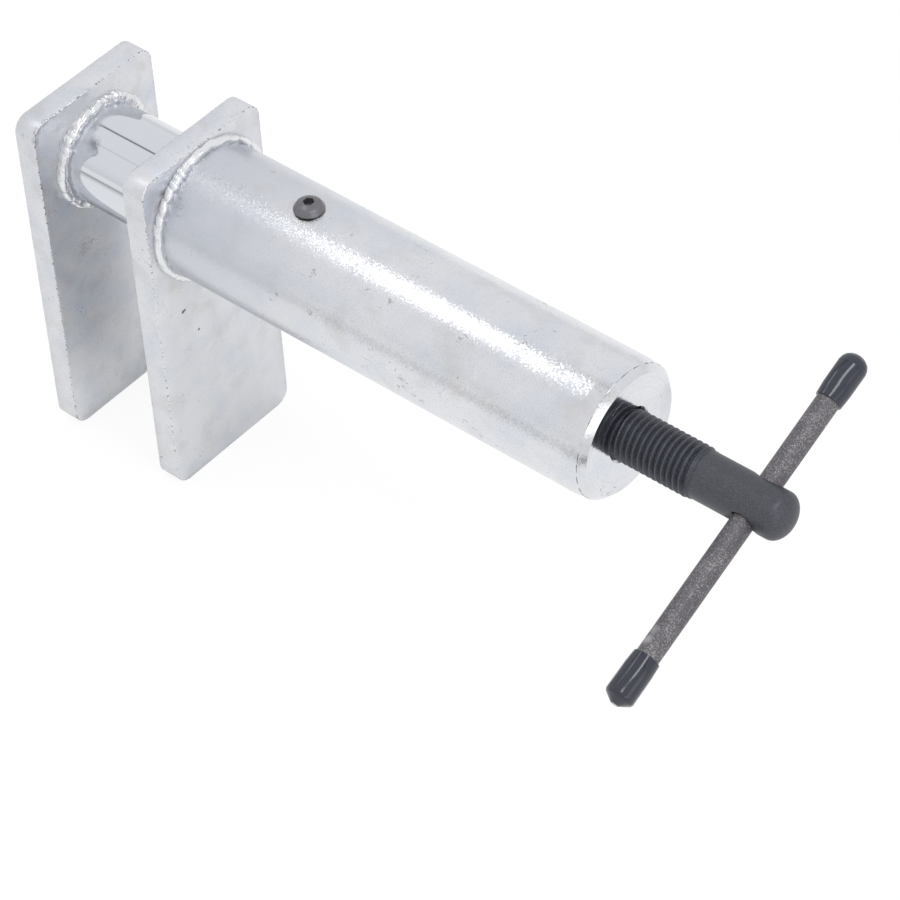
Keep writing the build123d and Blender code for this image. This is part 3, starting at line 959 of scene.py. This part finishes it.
class PISTONTOOL_OT_inner_steel(bpy.types.Operator):
    """Give the ball, the pins and the plug's flush weld their finishes"""

    bl_idname = "piston_tool.inner_steel"
    bl_label = "Inner steel"

    def execute(self, context):
        steel = new_finish("ground hardened steel", hardened_steel, context.scene.tool_colours)
        zinc = bpy.data.materials["zinc plated drawn tube"]
        for node, material in (("thrust_ball", steel), ("nose_pins", steel), ("end_plug_weld", zinc)):
            piece = frame["nodes"][node]
            piece.data.materials.clear()
            piece.data.materials.append(material)
        return {"FINISHED"}


class PISTONTOOL_OT_studio(bpy.types.Operator):
    """Set up the pale floor, the soft light and the camera"""

    bl_idname = "piston_tool.studio"
    bl_label = "Studio"

    def execute(self, context):
        scene = context.scene
        scene.view_settings.view_transform = "Standard"
        self.add_floor(scene.tool_colours)
        self.add_sky(scene)
        self.add_light()
        self.add_camera(scene)
        return {"FINISHED"}

    def add_floor(self, colours):
        """A wide paper sweep under the plates, white to the camera and to what mirrors it.

        It stays dark deep under and between the plates, where no light comes in.
        """
        floor = added(bpy.ops.mesh.primitive_plane_add, size=12, location=(0, 0, CAD_BOX[0].z))
        floor.name = "floor"
        bpy.ops.object.transform_apply(location=True)
        material, node, where = new_material("matt white paper sweep")
        path = node("LightPath")
        by_camera = path.outputs["Is Camera Ray"]
        seen = by_camera
        for ray in ("Is Glossy Ray", "Is Transmission Ray"):
            seen = node("Math", {"Value": seen, "Value_001": path.outputs[ray]}, operation="MAXIMUM")
        # The paper's own share keeps the tool's shadow
        share = node("Math", {"Value": seen, "Value_001": 0.8}, operation="MULTIPLY")
        open_to_light = node("AmbientOcclusion", {"Distance": 0.12}).outputs["AO"]
        depth = {"Value": open_to_light, "From Min": 0.15, "From Max": 0.6}
        mirrored = node("MapRange", {**depth, "To Min": 0.45, "To Max": PURE_WHITE})
        # Painted shade: a darker band across the glow that mirrors see, where the sweep's front edge would
        # be; the tool's sides mirror it as a dark line
        across = node("SeparateXYZ", {"Vector": where}).outputs["Y"]
        off = away_from(node, across, -0.42)
        edge = node("MapRange", {"Value": off, "From Max": 0.18, "To Min": 0.35})
        mirrored = node("Math", {"Value": mirrored, "Value_001": edge}, operation="MULTIPLY")
        seen_white = node("Math", {"Value": by_camera, "Value_001": PURE_WHITE}, operation="MULTIPLY")
        strength = node("Math", {"Value": mirrored, "Value_001": seen_white}, operation="MAXIMUM")
        paper = node("BsdfDiffuse", {"Color": rgba(colours.floor)})
        glow = node("Emission", {"Color": (1, 1, 1, 1), "Strength": strength})
        surface = node("MixShader", {"Fac": share, "Shader": paper, "Shader_001": glow})
        node("OutputMaterial", {"Surface": surface})
        floor.data.materials.append(material)

    def add_sky(self, scene):
        """A white tent, a little darker low down, with seams that run along the tool."""
        world = bpy.data.worlds.new("white tent")
        world.use_nodes = True
        world.node_tree.nodes.clear()
        node = partial(add_node, world.node_tree)
        way = node("SeparateXYZ", {"Vector": node("TexCoord").outputs["Generated"]})
        rise = {"Value": way.outputs["Z"], "From Min": 0.0, "From Max": 0.3, "To Min": 0.86, "To Max": 0.96}
        level = node("MapRange", rise, interpolation_type="SMOOTHSTEP")
        round_tool = {"Value": way.outputs["Z"], "Value_001": way.outputs["Y"]}
        turn = node("Math", round_tool, operation="ARCTAN2")
        # Seams as degrees round the tool, half width in degrees and what they leave of the light
        for angle, half_width, left in ((83, 2.8, 0.0), (123, 2.0, 0.75)):
            off = away_from(node, turn, radians(angle))
            seam = node("MapRange", {"Value": off, "From Max": radians(half_width), "To Min": left})
            level = node("Math", {"Value": level, "Value_001": seam}, operation="MULTIPLY")
        seen = node("LightPath").outputs["Is Camera Ray"]
        seen = node("Math", {"Value": seen, "Value_001": PURE_WHITE}, operation="MULTIPLY")
        level = node("Math", {"Value": level, "Value_001": seen}, operation="MAXIMUM")
        tent = node("Background", {"Color": rgba(linear("#FDFDFF")), "Strength": level})
        node("OutputWorld", {"Surface": tent})
        scene.world = world

    def add_light(self):
        """Two narrow soft boxes close overhead and a broad one behind the T-bar."""
        aim = Vector((0.15, 0, 0))
        # Place, width and depth in metres, and radiance
        for name, spot, wide, deep, radiance in (
            ("front narrow soft box", (-0.070, -0.0375, 0.32), 0.065, 0.12, 2.7),
            ("rear narrow soft box", (0.290, -0.042, 0.32), 0.08, 0.20, 5.2),
            ("broad soft box", (1.05, -0.25, 0.30), 0.8, 0.45, 0.8),
        ):
            lamp = added(bpy.ops.object.light_add, type="AREA", location=spot)
            lamp.name = name
            lamp.visible_camera = False
            if wide > deep:
                lamp.rotation_euler = (Vector(spot) - aim).to_track_quat("Z", "Y").to_euler()
            lamp.data.shape = "RECTANGLE"
            lamp.data.size = wide
            lamp.data.size_y = deep
            lamp.data.energy = radiance * pi * wide * deep

    def add_camera(self, scene):
        """The photograph's view, solved from the tool's own edges."""
        camera = added(
            bpy.ops.object.camera_add,
            location=(0.64372, -0.60043, 0.75599),
            rotation=(radians(45.456), radians(2.612), radians(40.100)),
        )
        camera.name = "camera"
        camera.data.sensor_width = 36
        camera.data.lens = 157.89
        camera.data.clip_start = 0.05
        scene.camera = camera


class PISTONTOOL_PT_panel(bpy.types.Panel):
    """Sizes, colours and pieces of the piston tool"""

    bl_idname = "PISTONTOOL_PT_panel"
    bl_label = "Piston tool"
    bl_space_type = "VIEW_3D"
    bl_region_type = "UI"
    bl_category = "Piston tool"

    def draw(self, context):
        for group in (context.scene.tool_sizes, context.scene.tool_colours):
            box = self.layout.box()
            for name in group.__annotations__:
                box.prop(group, name)
        for step in STEPS:
            self.layout.operator(step.bl_idname)


STEPS = (
    PISTONTOOL_OT_body_tube,
    PISTONTOOL_OT_jaw_plates,
    PISTONTOOL_OT_weld_beads,
    PISTONTOOL_OT_ram,
    PISTONTOOL_OT_guide_screw,
    PISTONTOOL_OT_drive_screw,
    PISTONTOOL_OT_t_bar,
    PISTONTOOL_OT_inner_steel,
    PISTONTOOL_OT_studio,
)
CLASSES = (ToolSizes, ToolColours, *STEPS, PISTONTOOL_PT_panel)


def register():
    for entry in CLASSES:
        bpy.utils.register_class(entry)
    bpy.types.Scene.tool_sizes = PointerProperty(type=ToolSizes)
    bpy.types.Scene.tool_colours = PointerProperty(type=ToolColours)


def unregister():
    del bpy.types.Scene.tool_colours
    del bpy.types.Scene.tool_sizes
    for entry in reversed(CLASSES):
        bpy.utils.unregister_class(entry)


def main():
    register()
    for step in STEPS:
        group, name = step.bl_idname.split(".")
        getattr(getattr(bpy.ops, group), name)()


if __name__ == "__main__":
    main()
